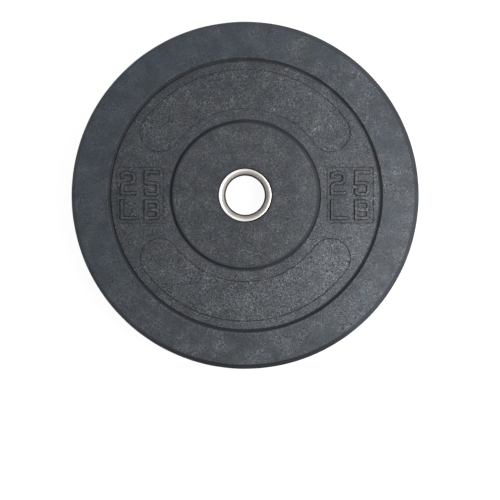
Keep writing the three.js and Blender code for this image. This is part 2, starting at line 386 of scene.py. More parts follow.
def pad_cutter():
    """Points and faces: centre + direction * distance, with a height for each distance, waves included.

    The first and the last row lie on the middle arc, where both sides meet, so the rows aren't closed.
    """
    centre, direction = pad_loop()
    floor = np.linspace(0, PAD_HALF_WIDTH - LINE_WIDTH, PAD_FLOOR_STEPS)
    groove = PAD_HALF_WIDTH + np.array([-LINE_WIDTH / 4, LINE_WIDTH / 4, LINE_WIDTH / 2, LINE_WIDTH])
    distance = np.concatenate([floor, groove, groove[-1:], [0]])
    depth = np.concatenate([0 * floor + PAD_DEPTH, [LINE_DEPTH, LINE_DEPTH, PAD_DEPTH / 2, -CUT_OVERRUN]])
    height = WEB_HEIGHT - np.concatenate([depth, [-2 * CUT_OVERRUN, -2 * CUT_OVERRUN]])
    flat = centre[None] + direction[None] * distance[:, None, None]
    points = np.dstack([flat, np.broadcast_to(height[:, None], flat.shape[:2])])
    on_floor = (np.arange(len(distance)) < len(floor))[:, None]
    points[..., 2] -= np.where(on_floor, sunk(points), 0)
    rows, columns = points.shape[:2]
    return points.reshape(-1, 3), closed_grid_faces(rows, columns)[: (rows - 1) * columns]


def merged(piece):
    """Merges points that lie on one spot, and turns all faces outwards."""
    surface = bmesh.new()
    surface.from_mesh(piece.data)
    bmesh.ops.remove_doubles(surface, verts=surface.verts, dist=TINY)
    bmesh.ops.recalc_face_normals(surface, faces=surface.faces)
    surface.to_mesh(piece.data)
    surface.free()


pad_points, pad_faces = pad_cutter()
pads = [pad_points, pad_points * [-1, -1, 1]]
pads += [turned_over(points) for points in pads]
pad_set = joined("pad_cutters", [(points, pad_faces) for points in pads])
merged(pad_set)
measured(pad_set)
combined(rubber, pad_set, "DIFFERENCE")

# %% [markdown]
# ## Frames round the weight marks
# The weight marks sit on small plates that are swapped in the mould, so a fine line with round corners
# frames each of them. A bump in the material could fake it, but then it would be missing from the shape, so
# it is a real groove: a small section, carried round a rounded rectangle.

# %% Frame lines
MARK_WIDTH = 20.3
FOOT_WIDTH = 23.0
TWO_HEIGHT = 30.5
FIVE_HEIGHT = 33.0
LETTER_HEIGHT = 25.8
COLUMN_GAP = 10.7
ROW_GAP = 5.0
FRAME_MARGIN = 4.3
FRAME_CORNER = 5.0
FRAME_SPACING = 2.0
FRAME_DEPTH = 0.5

MARK_CENTRE = (WEB_INNER + WEB_OUTER) / 2
BLOCK_WIDTH = 2 * MARK_WIDTH + COLUMN_GAP
BLOCK_HEIGHT = FIVE_HEIGHT + ROW_GAP + LETTER_HEIGHT
FRAME_HALF = np.array([BLOCK_WIDTH / 2, BLOCK_HEIGHT / 2]) + FRAME_MARGIN


def frame_cutter(centre):
    """A groove section carried round a rounded rectangle: point + n * across, with n square to the line."""
    signs = np.array([[1, -1], [1, 1], [-1, 1], [-1, -1]])
    line = rounded(np.column_stack([signs * FRAME_HALF, np.full(4, FRAME_CORNER)]), 7)
    line = refined(line, FRAME_SPACING)
    tangent = np.roll(line, -1, axis=0) - np.roll(line, 1, axis=0)
    tangent /= np.linalg.norm(tangent, axis=1, keepdims=True)
    normal = np.column_stack([tangent[:, 1], -tangent[:, 0]])
    across = LINE_WIDTH * np.array([-0.5, -0.25, 0.25, 0.5, 1.0, -1.0])
    depth = np.array([0, FRAME_DEPTH, FRAME_DEPTH, 0, -CUT_OVERRUN, -CUT_OVERRUN]) + WAVE_DEPTH / 2
    flat = line[None] + normal[None] * across[:, None, None] + [centre, 0]
    points = np.dstack([flat, np.broadcast_to(WEB_HEIGHT - depth[:, None], flat.shape[:2])])
    return points.reshape(-1, 3), closed_grid_faces(*points.shape[:2])


frames = [frame_cutter(centre) for centre in (-MARK_CENTRE, MARK_CENTRE)]
frames += [(turned_over(points), faces) for points, faces in frames]
frame_set = joined("frame_cutters", frames)
merged(frame_set)
measured(frame_set)
combined(rubber, frame_set, "DIFFERENCE")

# %% [markdown]
# ## Raised weight marks
# A character is one or more strokes. A stroke's solid is a stack of outlines: at each level the centre line
# is set off to both sides by that level's half width, so the walls lean, as they must to leave the mould,
# and the top edge is soft. The centre lines are written in a box of the character's own width and height.

# %% Centre lines of the characters
MARK_STROKE = 4.4
HOOK_HEIGHT = 8.8
TWO_BEND = 6.2
FIVE_BEND = 5.4
LETTER_BEND = 4.2
HOOK_BEND_SHARE = 0.9
MARK_DRAFT = 1.1
MARK_RELIEF = 2.2
MARK_TOP_BEND = 0.5
ROW_MIDDLES = ((BLOCK_HEIGHT - FIVE_HEIGHT) / 2, (LETTER_HEIGHT - BLOCK_HEIGHT) / 2)
CHARACTERS = {
    "2": (MARK_WIDTH, TWO_HEIGHT, 0, 0),
    "5": (MARK_WIDTH, FIVE_HEIGHT, 1, 0),
    "L": (FOOT_WIDTH, LETTER_HEIGHT, 0, 1),
    "B": (MARK_WIDTH, LETTER_HEIGHT, 1, 1),
}


def centre_lines(character, width, height):
    """Strokes of a character as rows of x, y and the length of the bend there."""
    waist, hook = height / 2, HOOK_HEIGHT - MARK_STROKE
    hook_bend = hook * HOOK_BEND_SHARE
    lines = {
        "2": [
            [[0, height - hook, 0], [0, height, hook_bend], [width, height, TWO_BEND],
             [width, waist, TWO_BEND], [0, waist, TWO_BEND], [0, 0, 0], [width, 0, 0]],
        ],
        "5": [
            [[width, height, 0], [0, height, 0], [0, waist, 0], [width, waist, FIVE_BEND],
             [width, 0, FIVE_BEND], [0, 0, hook_bend], [0, hook, 0]],
        ],
        "L": [[[0, height, 0], [0, 0, 0], [width, 0, 0]]],
        "B": [
            [[0, 0, 0], [0, height, 0]],
            [[0, height, 0], [width, height, LETTER_BEND], [width, waist, LETTER_BEND], [0, waist, 0]],
            [[0, waist, 0], [width, waist, LETTER_BEND], [width, 0, LETTER_BEND], [0, 0, 0]],
        ],
    }
    return [np.array(line, float) for line in lines[character]]


print(f"each block of marks is {BLOCK_WIDTH:.1f} mm wide and {BLOCK_HEIGHT:.1f} mm high")


# %% [markdown]
# The outline of a stroke is its centre line set off to both sides, and its solid is a stack of such
# outlines, wide at the foot and narrower towards the top. The letter B has three strokes, which a union
# makes one.

# %% Strokes as stacks of outlines
def stroke_outline(line, half_width):
    """The centre line set off by half_width to both sides, mitred at corners, run on at the ends."""
    heading = np.diff(line, axis=0)
    heading /= np.linalg.norm(heading, axis=1, keepdims=True)
    before, after = np.vstack([heading[:1], heading]), np.vstack([heading, heading[-1:]])
    across = np.column_stack([-(before + after)[:, 1], (before + after)[:, 0]])
    offset = across * half_width / (1 + (before * after).sum(axis=1, keepdims=True))
    longer = line.copy()
    longer[0] -= heading[0] * half_width
    longer[-1] += heading[-1] * half_width
    return np.vstack([longer - offset, (longer + offset)[::-1]])


def stroke_levels():
    """Half width and height of each level, from the sunken foot up to the soft top edge."""
    foot, top = (MARK_STROKE + MARK_DRAFT) / 2, (MARK_STROKE - MARK_DRAFT) / 2
    corners = [[foot, -CUT_OVERRUN, 0], [foot, 0, 0], [top, MARK_RELIEF, MARK_TOP_BEND]]
    corners += [[top - MARK_TOP_BEND - TINY, MARK_RELIEF, 0]]
    return rounded(np.array(corners))


def stroke_solid(line):
    """Points and faces of one stroke: walls between the levels, and a cap below and above."""
    levels = stroke_levels()
    outlines = [stroke_outline(rounded(line, 7), half_width) for half_width, _ in levels]
    count = len(outlines[0])
    heights = [np.full((count, 1), WEB_HEIGHT + height) for _, height in levels]
    points = np.vstack([np.hstack(pair) for pair in zip(outlines, heights)])
    walls = closed_grid_faces(len(levels), count)[: (len(levels) - 1) * count, ::-1].tolist()
    bottom = list(range(count))[::-1]
    top = list(range(len(points) - count, len(points)))
    return points, walls + [bottom, top]


def character_object(character, box_width, box_height):
    """One character, standing on the web with the start of its lowest centre line at the origin."""
    lines = centre_lines(character, box_width - MARK_STROKE, box_height - MARK_STROKE)
    solids = [object_from(character, *stroke_solid(line)) for line in lines]
    for other in solids[1:]:
        combined(solids[0], other, "UNION")
    return solids[0]


def mark_parts():
    """Points and faces of all eight characters of a face, each moved to its place in its block."""
    parts = []
    for character, (box_width, box_height, column, row) in CHARACTERS.items():
        solid = character_object(character, box_width, box_height)
        points = np.array([vertex.co for vertex in solid.data.vertices]) / MM - [0, 0, MIDDLE]
        faces = [list(face.vertices) for face in solid.data.polygons]
        bpy.data.objects.remove(solid)
        x = column * (MARK_WIDTH + COLUMN_GAP) - (BLOCK_WIDTH - MARK_STROKE) / 2
        y = ROW_MIDDLES[row] - (box_height - MARK_STROKE) / 2
        parts += [(points + [x + side * MARK_CENTRE, y, 0], faces) for side in (-1, 1)]
    return parts


marks = mark_parts()
marks += [(turned_over(points), faces) for points, faces in marks]
mark_set = joined("weight_marks", marks)
measured(mark_set)
combined(rubber, mark_set, "UNION")

# %% [markdown]
# The rubber also grows through the anchor disc's holes and ties both halves of the hub together. Nobody
# sees these keys, but the moulding would fall in two without them, so they are part of its shape.

# %% Keys through the anchor disc
KEY_COUNT = 8
KEY_RADIUS = 11.7
KEY_SIDES = 48
KEY_CIRCLE = (SLEEVE_RADIUS + FIT + DISC_RADIUS) / 2


def key_solid(angle):
    """A round bar across the slot: a circle of points at two heights, with a cap on each."""
    turn = np.arange(KEY_SIDES) * 2 * np.pi / KEY_SIDES
    centre = KEY_CIRCLE * np.array([np.cos(angle), np.sin(angle)])
    circle = centre + KEY_RADIUS * np.column_stack([np.cos(turn), np.sin(turn)])
    reach = SLOT_HEIGHT + CUT_OVERRUN
    points = np.vstack([np.column_stack([circle, np.full(KEY_SIDES, z)]) for z in (-reach, reach)])
    walls = closed_grid_faces(2, KEY_SIDES)[:KEY_SIDES, ::-1].tolist()
    return points, walls + [list(range(KEY_SIDES))[::-1], list(range(KEY_SIDES, 2 * KEY_SIDES))]


keys = joined("rubber_keys", [key_solid(2 * np.pi * i / KEY_COUNT) for i in range(KEY_COUNT)])
measured(keys)
combined(rubber, keys, "UNION")
rubber.name = "rubber_moulding"
measured(rubber)

# %% [markdown]
# ## Shading
# Smooth shading hides the facets of a round shape, but it would also smear the sharp feet of the
# characters. Edges that turn by more than a set angle therefore stay sharp.

# %% Shading of the rubber
SHARP_ANGLE = np.radians(38)


def smooth(piece):
    piece.data.shade_smooth()
    piece.data.set_sharp_from_angle(angle=SHARP_ANGLE)


smooth(rubber)
print(f"edges that turn by more than {np.degrees(SHARP_ANGLE):.0f} degrees stay sharp")
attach(rubber, "root")
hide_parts("rubber_body")

# %% [markdown]
# ## Steel insert
# The bore is a welded tube with a collar on each end. A collar is turned from stainless steel: its mouth
# opens like a bell, so that the bar finds its way in, and ends in a rounded lip just under the hub's face.
# Bell and lip are two arcs that meet at one slope, so the gloss runs over both without a break.

# %% Collars and sleeve
SLEEVE_WALL = 3.0
LIP_ROUND = 2.2
LIP_STEPS = 18
BELL_ROUND = 23.0
BELL_SLOPE = np.radians(42)
BELL_STEPS = 12
THROAT_BEND = 0.3
STEEL_SIDES = 288

BORE_RADIUS = SLEEVE_RADIUS - SLEEVE_WALL
SHOULDER_HEIGHT = SLEEVE_END + FIT


def arc(centre, radius, slopes):
    """Rows of radius, height and bend 0, on an arc at the points where its surface has the given slopes."""
    return np.column_stack([
        centre[0] - radius * np.sin(slopes),
        centre[1] + radius * np.cos(slopes),
        np.zeros(len(slopes)),
    ])


def collar_section():
    """Closed section of a collar.

    The lip is an arc that ends upright at the outside. The bell is a wider arc that leaves the lip at one
    slope and grows steeper until it reaches the bore. Both centres lie on one line square to that slope.
    """
    square = np.array([-np.sin(BELL_SLOPE), np.cos(BELL_SLOPE)])
    lip_centre = np.array([COLLAR_RADIUS - LIP_ROUND, LIP_HEIGHT - LIP_ROUND])
    bell_centre = lip_centre - (BELL_ROUND - LIP_ROUND) * square
    steepest = np.arcsin((bell_centre[0] - BORE_RADIUS) / BELL_ROUND)
    bell = arc(bell_centre, BELL_ROUND, np.linspace(steepest, BELL_SLOPE, BELL_STEPS + 1)[:-1])
    bell[0, 2] = THROAT_BEND
    print(f"the bell ends {bell[0, 1] - SHOULDER_HEIGHT:.2f} mm above the shoulder")
    lip = arc(lip_centre, LIP_ROUND, np.linspace(BELL_SLOPE, -np.pi / 2, LIP_STEPS + 1))
    seat = [
        [COLLAR_RADIUS, GROOVE_TOP, 0],
        [GROOVE_RADIUS, GROOVE_TOP, 0],
        [GROOVE_RADIUS, GROOVE_BOTTOM, 0],
        [COLLAR_RADIUS, GROOVE_BOTTOM, 0],
        [COLLAR_RADIUS, COLLAR_BOTTOM, 0],
        [SLEEVE_RADIUS + FIT, COLLAR_BOTTOM, 0],
        [SLEEVE_RADIUS + FIT, SHOULDER_HEIGHT, 0],
        [BORE_RADIUS, SHOULDER_HEIGHT, 0],
    ]
    return rounded(np.vstack([bell, lip, seat]))


def steel_piece(name, grid, node):
    piece = ring_object(name, grid)
    smooth(piece)
    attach(piece, "root")
    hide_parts(node)
    measured(piece)
    return piece


collar_grid = turned(collar_section(), STEEL_SIDES)
front_ring = steel_piece("front_bell_mouth", collar_grid, "front_collar")
rear_ring = steel_piece("rear_bell_mouth", turned_over(collar_grid), "rear_collar")

tube_section = mirrored(np.array([[BORE_RADIUS, SLEEVE_END], [SLEEVE_RADIUS, SLEEVE_END]]))
tube = steel_piece("bore_tube", turned(tube_section, STEEL_SIDES), "bore_sleeve")

# %% [markdown]
# ## Small helpers for shader nodes
# A finish is worked out by nodes. These helpers add a node with its settings and inputs in one line, and do
# arithmetic on what other nodes put out. A mask is a value from 0 to 1 that says how much of something is
# here.

# %% Nodes and arithmetic
def add_node(tree, kind, inputs=None, **settings):
    """Adds a node. An input takes either a plain value or the output of another node."""
    made = tree.nodes.new(kind)
    for name, value in settings.items():
        setattr(made, name, value)
    for name, value in (inputs or {}).items():
        if isinstance(value, bpy.types.NodeSocket):
            tree.links.new(value, made.inputs[name])
        else:
            made.inputs[name].default_value = value
    return made


def math(tree, operation, *values):
    """One step of arithmetic on values or outputs."""
    return add_node(tree, "ShaderNodeMath", dict(enumerate(values)), operation=operation).outputs[0]


def product(tree, *values):
    """Two or more values or outputs, multiplied."""
    result = values[0]
    for value in values[1:]:
        result = math(tree, "MULTIPLY", result, value)
    return result


def ramp(tree, value, low, high, start=0.0, end=1.0):
    """Eases from start to end while value goes from low to high."""
    inputs = {"Value": value, "From Min": low, "From Max": high, "To Min": start, "To Max": end}
    return add_node(tree, "ShaderNodeMapRange", inputs, interpolation_type="SMOOTHSTEP").outputs[0]


def between(tree, mask, start, end):
    """The level start where a mask is 0, end where it is 1, and eased in between."""
    return ramp(tree, mask, 0, 1, start, end)


def axes_of(tree, vector):
    """The X, Y and Z of a vector as outputs."""
    return add_node(tree, "ShaderNodeSeparateXYZ", {"Vector": vector}).outputs


# %% [markdown]
# Colours are mixed, made lighter or darker, and broken up by noise. Noise that is read at the position in
# space has no seams, because it doesn't know where one face of the mesh ends and the next begins.

# %% Colours and noise
def blended(tree, share, one, other):
    """Mixes two colours, which may be outputs."""
    made = add_node(tree, "ShaderNodeMix", {"Factor": share}, data_type="RGBA")
    for socket, colour in ((made.inputs[6], one), (made.inputs[7], other)):
        if isinstance(colour, bpy.types.NodeSocket):
            tree.links.new(colour, socket)
        else:
            socket.default_value = (*colour, 1)
    return made.outputs[2]


def scaled(tree, colour, factor):
    """A colour times a value, both outputs."""
    made = add_node(tree, "ShaderNodeVectorMath", {0: colour, "Scale": factor}, operation="SCALE")
    return made.outputs[0]


def vector_math(tree, operation, *vectors):
    """One step of arithmetic on colours, channel by channel."""
    return add_node(tree, "ShaderNodeVectorMath", dict(enumerate(vectors)), operation=operation).outputs[0]


def noise(tree, position, scale, detail=2.0, roughness=0.5, distortion=0.0):
    """Cloudy noise from 0 to 1. The scale is in features per metre."""
    inputs = {"Vector": position, "Scale": scale, "Detail": detail}
    inputs.update({"Roughness": roughness, "Distortion": distortion})
    return add_node(tree, "ShaderNodeTexNoise", inputs).outputs["Fac"]


# %% [markdown]
# A node group is a recipe with named inputs and outputs that several materials can use. A material itself
# ends in a shader, and the last helper hangs it on a piece.

# %% Groups and materials
FLOAT, VECTOR, COLOR = "NodeSocketFloat", "NodeSocketVector", "NodeSocketColor"


def new_group(name, inputs, outputs):
    """A shader node group with named sockets. It returns the tree, its input node and its output node."""
    tree = bpy.data.node_groups.new(name, "ShaderNodeTree")
    for in_out, sockets in (("INPUT", inputs), ("OUTPUT", outputs)):
        for socket, kind in sockets.items():
            tree.interface.new_socket(socket, in_out=in_out, socket_type=kind)
    return tree, tree.nodes.new("NodeGroupInput").outputs, tree.nodes.new("NodeGroupOutput").inputs


def use_group(tree, group, inputs):
    return add_node(tree, "ShaderNodeGroup", inputs, node_tree=group).outputs


def new_material(name):
    """A material and its node tree, which starts empty."""
    material = bpy.data.materials.new(name)
    material.use_nodes = True
    material.node_tree.nodes.clear()
    return material, material.node_tree


def bumped(tree, height, strength, distance):
    """The surface's direction, tilted by the slopes of a height that is given in parts of the distance."""
    inputs = {"Height": height, "Strength": strength, "Distance": distance}
    return add_node(tree, "ShaderNodeBump", inputs).outputs[0]


def ended(tree, inputs):
    """Ends a material in a Principled shader with the given inputs."""
    shader = add_node(tree, "ShaderNodeBsdfPrincipled", inputs)
    add_node(tree, "ShaderNodeOutputMaterial", {"Surface": shader.outputs[0]})


def dress(piece, material):
    piece.data.materials.clear()
    piece.data.materials.append(material)
    print(piece.name, "has the finish", material.name)


# %% [markdown]
# ## Crumb grain
# The rubber is pressed from shredded tyre. Its skin is a mosaic of crumbs of one to three millimetres, each
# a little lighter or darker than the next, with short pale shreds that lie in darker crumbs and a few pale
# or rusty specks. One group makes all of these, because any crumb rubber would share them.

# %% Crumb grain group
GRAIN_PER_METRE = 550
CRUMB_PER_METRE = 430
HUE_PER_METRE = 130
SHRED_PER_METRE = 460
SPECK_PER_METRE = 240
SHRED_TONE = 0.09
SPECK_RARITY = 0.97


def shred_mask(tree, position):
    """Thin winding lines where one noise crosses its middle, kept only where a second noise is high."""
    field = noise(tree, position, SHRED_PER_METRE, 1, 0.5, 1.2)
    line = ramp(tree, math(tree, "ABSOLUTE", math(tree, "SUBTRACT", field, 0.5)), 0.02, 0.08, 1, 0)
    kept = ramp(tree, noise(tree, position, 0.9 * SHRED_PER_METRE, 1), 0.5, 0.58)
    return product(tree, line, kept)


def crumb_grain():
    """Tone is below 0 in a dark crumb and above it in a light one, and Hue is a colour near grey."""
    outputs = dict.fromkeys(("Tone", "Height", "Shreds", "Specks", "Rust"), FLOAT)
    tree, given, result = new_group("crumb_grain", {"Position": VECTOR}, {**outputs, "Hue": COLOR})
    position = given["Position"]
    fine = noise(tree, position, GRAIN_PER_METRE, 3, 0.65, 1.6)
    shreds = shred_mask(tree, position)
    tree.links.new(shreds, result["Shreds"])
    darker = math(tree, "ADD", product(tree, shreds, SHRED_TONE), 0.5)
    tree.links.new(math(tree, "SUBTRACT", fine, darker), result["Tone"])
    hue_inputs = {"Vector": position, "Scale": HUE_PER_METRE, "Detail": 3.0}
    hues = add_node(tree, "ShaderNodeTexNoise", hue_inputs).outputs["Color"]
    tree.links.new(hues, result["Hue"])
    cell_inputs = {"Vector": position, "Scale": CRUMB_PER_METRE, "Smoothness": 0.6}
    cells = add_node(tree, "ShaderNodeTexVoronoi", cell_inputs, feature="SMOOTH_F1").outputs["Distance"]
    tree.links.new(math(tree, "SUBTRACT", fine, cells), result["Height"])
    speck_inputs = {"Vector": position, "Scale": SPECK_PER_METRE}
    speck_cells = add_node(tree, "ShaderNodeTexVoronoi", speck_inputs).outputs
    chance = add_node(tree, "ShaderNodeSeparateColor", {"Color": speck_cells["Color"]}).outputs
    spot = ramp(tree, speck_cells["Distance"], 0.1, 0.3, 1, 0)
    for share, name in ((chance[0], "Specks"), (chance[1], "Rust")):
        rare = math(tree, "GREATER_THAN", share, SPECK_RARITY)
        tree.links.new(product(tree, spot, rare), result[name])
    return tree


crumb_group = crumb_grain()
print("node group", crumb_group.name)

# %% [markdown]
# ## Where each zone lies
# The pads, the fine lines, the rim and the tread were pressed by different parts of the mould and look a
# little different. A point's zone follows from its distance from the bore's axis, from a pad's middle arc
# or from a frame, which is the same arithmetic that shaped the mesh. Both faces and both sides are alike,
# so the position is folded into one quarter first.

# %% Distances to a pad and a frame
def length(tree, one, other):
    """Square root of one squared plus other squared."""
    squares = math(tree, "ADD", math(tree, "POWER", one, 2), math(tree, "POWER", other, 2))
    return math(tree, "SQRT", squares)


def pad_distance(tree, x, y, radius):
    """Distance in millimetres from a pad's middle arc: from its end, or along the radius where beside it."""
    end_x, end_y = PAD_MIDDLE * np.cos(PAD_END_ANGLE), PAD_MIDDLE * np.sin(PAD_END_ANGLE)
    from_end = length(tree, math(tree, "SUBTRACT", x, end_x), math(tree, "SUBTRACT", y, end_y))
    from_arc = math(tree, "ABSOLUTE", math(tree, "SUBTRACT", radius, PAD_MIDDLE))
    beside_arc = math(tree, "GREATER_THAN", math(tree, "ARCTAN2", y, x), PAD_END_ANGLE)
    inputs = {"Factor": beside_arc, "A": from_end, "B": from_arc}
    return add_node(tree, "ShaderNodeMix", inputs).outputs[0]


def frame_distance(tree, x, y):
    """Distance in millimetres from a frame line, below 0 inside it: the one to a box with round corners."""
    reach = FRAME_HALF - FRAME_CORNER / 2
    from_centre = math(tree, "ABSOLUTE", math(tree, "SUBTRACT", x, MARK_CENTRE))
    out_x, out_y = math(tree, "SUBTRACT", from_centre, reach[0]), math(tree, "SUBTRACT", y, reach[1])
    corner = length(tree, math(tree, "MAXIMUM", out_x, 0), math(tree, "MAXIMUM", out_y, 0))
    inside = math(tree, "MINIMUM", math(tree, "MAXIMUM", out_x, out_y), 0)
    return math(tree, "SUBTRACT", math(tree, "ADD", corner, inside), FRAME_CORNER / 2)


# %% [markdown]
# A zone is a mask that fades out over a millimetre or a few past its edge. The group puts out one mask for
# each zone, and a material reads those that it needs.

# %% Zones group
ZONES = ("Hub", "Pad", "Lines", "Marks", "Foot", "Groove", "Rim", "Outer", "Tread")
MOUTH_SHADE_REACH = 7.0
MOUTH_SHARE = 0.3
FRAME_SHARE = 0.7
FOOT_SHIFT = 0.8
FOOT_SPREAD = (1.6, 4.0)
GROOVE_SHIFT = 0.2
GROOVE_SPREAD = (0.9, 2.6)
RIM_FADE = (-1, 4)
TREAD_FADE = (-1.7, -0.7)


def zones():
    """Masks by name.

    Foot and Groove lie at the feet of the hub's and the rim's step, where shade is painted, and Foot also
    takes in a ring of painted shade round the collar's mouth. Outer is the rim's outer half, and Tread
    takes in the chamfer.
    """
    tree, given, result = new_group("plate_zones", {"Position": VECTOR}, dict.fromkeys(ZONES, FLOAT))
    parts = axes_of(tree, given["Position"])
    x, y = (math(tree, "DIVIDE", math(tree, "ABSOLUTE", parts[axis]), MM) for axis in "XY")
    radius = length(tree, x, y)

    def off(value, target):
        return math(tree, "ABSOLUTE", math(tree, "SUBTRACT", value, target))

    from_pad, from_frame = pad_distance(tree, x, y, radius), frame_distance(tree, x, y)
    pad_line = ramp(tree, off(from_pad, PAD_HALF_WIDTH), LINE_WIDTH / 4, LINE_WIDTH, 1, 0)
    frame_line = ramp(tree, off(from_frame, 0), LINE_WIDTH / 4, LINE_WIDTH, FRAME_SHARE, 0)
    # Painted shade: a darker ring round the collar's mouth, which Foot carries with the hub's foot.
    mouth = ramp(tree, radius, MOUTH_RADIUS, MOUTH_RADIUS + MOUTH_SHADE_REACH, MOUTH_SHARE, 0)
    hub_foot = ramp(tree, off(radius, HUB_FOOT - FOOT_SHIFT), *FOOT_SPREAD, 1, 0)
    edge = PLATE_RADIUS - EDGE_CHAMFER_WIDTH
    masks = {
        "Hub": ramp(tree, radius, HUB_RADIUS, HUB_FOOT, 1, 0),
        "Pad": ramp(tree, from_pad, PAD_HALF_WIDTH - 1, PAD_HALF_WIDTH, 1, 0),
        "Lines": math(tree, "MAXIMUM", pad_line, frame_line),
        "Marks": ramp(tree, from_frame, -1, 0, 1, 0),
        "Foot": math(tree, "MAXIMUM", hub_foot, mouth),
        "Groove": ramp(tree, off(radius, RIM_FOOT - GROOVE_SHIFT), *GROOVE_SPREAD, 1, 0),
        "Rim": ramp(tree, radius, RIM_INNER + RIM_FADE[0], RIM_INNER + RIM_FADE[1]),
        "Outer": ramp(tree, radius, RIM_INNER, (RIM_INNER + edge) / 2),
        "Tread": ramp(tree, radius, edge + TREAD_FADE[0], edge + TREAD_FADE[1]),
    }
    for name, mask in masks.items():
        tree.links.new(mask, result[name])
    return tree


zones_group = zones()
print("node group", zones_group.name, "knows", ", ".join(ZONES))

# %% [markdown]
# ## Dust and painted light on the rubber
# Black rubber is never pure black: it greys with bloom and dust, in slow clouds. On top of that, light and
# shade
# are painted in: the plate is painted lighter towards its lower right and darker in a few places. Everything
# that this depends on is read once and kept in a table by name, so that each later step can be short.

# %% What the finish depends on
CLOUDS_PER_METRE = 22
HAZE_PER_METRE = 30
LIGHT_LEAN = 0.6
TREAD_SMOOTHNESS = 0.7


def read_surface(tree):
    """A table of outputs: the zones, x and y and lean = x - y in metres, and clouds from 0 to 1.

    Scuffs are clouds that grow with lean, so they gather at the lower right, where they are partly painted
    light. Flat is 1 where the surface faces along the axis and 0 where it stands upright.
    """
    position = add_node(tree, "ShaderNodeTexCoord").outputs["Object"]
    place = axes_of(tree, position)
    facing = axes_of(tree, add_node(tree, "ShaderNodeNewGeometry").outputs["Normal"])
    zone = use_group(tree, zones_group, {"Position": position})
    at = {name: zone[name] for name in ZONES}
    at.update({"position": position, "x": place["X"], "y": place["Y"]})
    at["lean"] = math(tree, "SUBTRACT", place["X"], place["Y"])
    clouds = noise(tree, position, CLOUDS_PER_METRE, 3, 0.6, 0.4)
    leaning = math(tree, "ADD", clouds, product(tree, at["lean"], LIGHT_LEAN))
    # Painted light in part: the lean pushes the scuff clouds to the lower right.
    at["scuffs"] = ramp(tree, leaning, 0.3, 0.7)
    at["haze"] = ramp(tree, noise(tree, position, HAZE_PER_METRE, 4, 0.6, 0.8), 0.38, 0.62)
    at["flat"] = math(tree, "ABSOLUTE", facing["Z"])
    at["off_rim"] = math(tree, "SUBTRACT", 1, at["Rim"])
    at["off_tread"] = math(tree, "SUBTRACT", 1, product(tree, at["Tread"], TREAD_SMOOTHNESS))
    return at


# %% [markdown]
# The mould presses the rim and the tread smoother than the web, and the crumb shows most in the pads. The
# feet of the steps, which are painted in shade, show less of it. The strength of the grain is therefore a
# product of one factor for each of these, and of one cloud that keeps it from being even anywhere.

# %% Strength of the grain
UNEVEN_PER_METRE = 85
CLOUD_RANGE = (0.35, 0.65)
RIM_GRAIN = (0.4, 0.8)
HAZE_GRAIN = (0.6, 1.25)
WEB_GRAIN = (0.85, 1.1)
PAD_GRAIN = (0.95, 1.2)
HUB_GRAIN = (1, 0.85)
UNEVEN_GRAIN = (0.72, 1.3)
STEP_SMOOTHNESS = 0.7


def grain_strength(tree, at):
    """(rim + web) * off the tread * off the steps * uneven. The rim and the web have their own factors."""
    rim_scuffs, rim_haze = between(tree, at["scuffs"], *RIM_GRAIN), between(tree, at["haze"], *HAZE_GRAIN)
    on_rim = product(tree, at["Rim"], rim_scuffs, rim_haze)
    web_scuffs, on_pad = between(tree, at["scuffs"], *WEB_GRAIN), between(tree, at["Pad"], *PAD_GRAIN)
    on_web = product(tree, at["off_rim"], web_scuffs, on_pad, between(tree, at["Hub"], *HUB_GRAIN))
    clouds = noise(tree, at["position"], UNEVEN_PER_METRE, 2)
    uneven = ramp(tree, clouds, *CLOUD_RANGE, *UNEVEN_GRAIN)
    steps = product(tree, math(tree, "MAXIMUM", at["Foot"], at["Groove"]), STEP_SMOOTHNESS)
    off_steps = math(tree, "SUBTRACT", 1, steps)
    return product(tree, math(tree, "ADD", on_rim, on_web), at["off_tread"], off_steps, uneven)


# %% [markdown]
# Random patches, painted light and painted shade make a place lighter or darker. Each of these is a factor
# of its own near 1, so they can be tuned one at a time, and their product is the shade of the place. The
# ranges of x, y and lean are in metres from the bore's axis.

# %% Shade of the rubber
PATCHES_PER_METRE = 45
PATCH_LEVELS = (0.89, 1.11)
OUTER_LEVELS = (0.95, 1.05)
RIM_LEVELS = (0.95, 1)
# Painted light and painted shade: factors by which single places are made lighter or darker.
LIT_WEB = 1.18
LIT_RIGHT = 1.13
LOW_HUB = 0.9
LOW_RIM = 0.92
HIGH_RIM = 0.92
LIT_TREAD = 1.18


def rim_haze_and_sheen(tree, at):
    """Level + strength * (haze - 0.5) on the rim, where the strength grows to the lower right as a painted
    sheen.
    """
    strength = product(tree, at["Rim"], ramp(tree, at["lean"], 0, 0.2, 0.08, 0.24))
    haze = product(tree, strength, math(tree, "SUBTRACT", at["haze"], 0.5))
    return math(tree, "ADD", haze, between(tree, at["Rim"], *RIM_LEVELS))


def lit_right_side(tree, at):
    """Mask of the painted light on the right side, which is weaker on the rim, mostly so high up, and in the
    frames.
    """
    rim_share = ramp(tree, at["y"], 0, 0.15, 0.4, 0)
    right = product(tree, ramp(tree, at["x"], 0.02, 0.1), between(tree, at["Rim"], 1, rim_share))
    return product(tree, right, between(tree, at["Marks"], 1, 0.2))


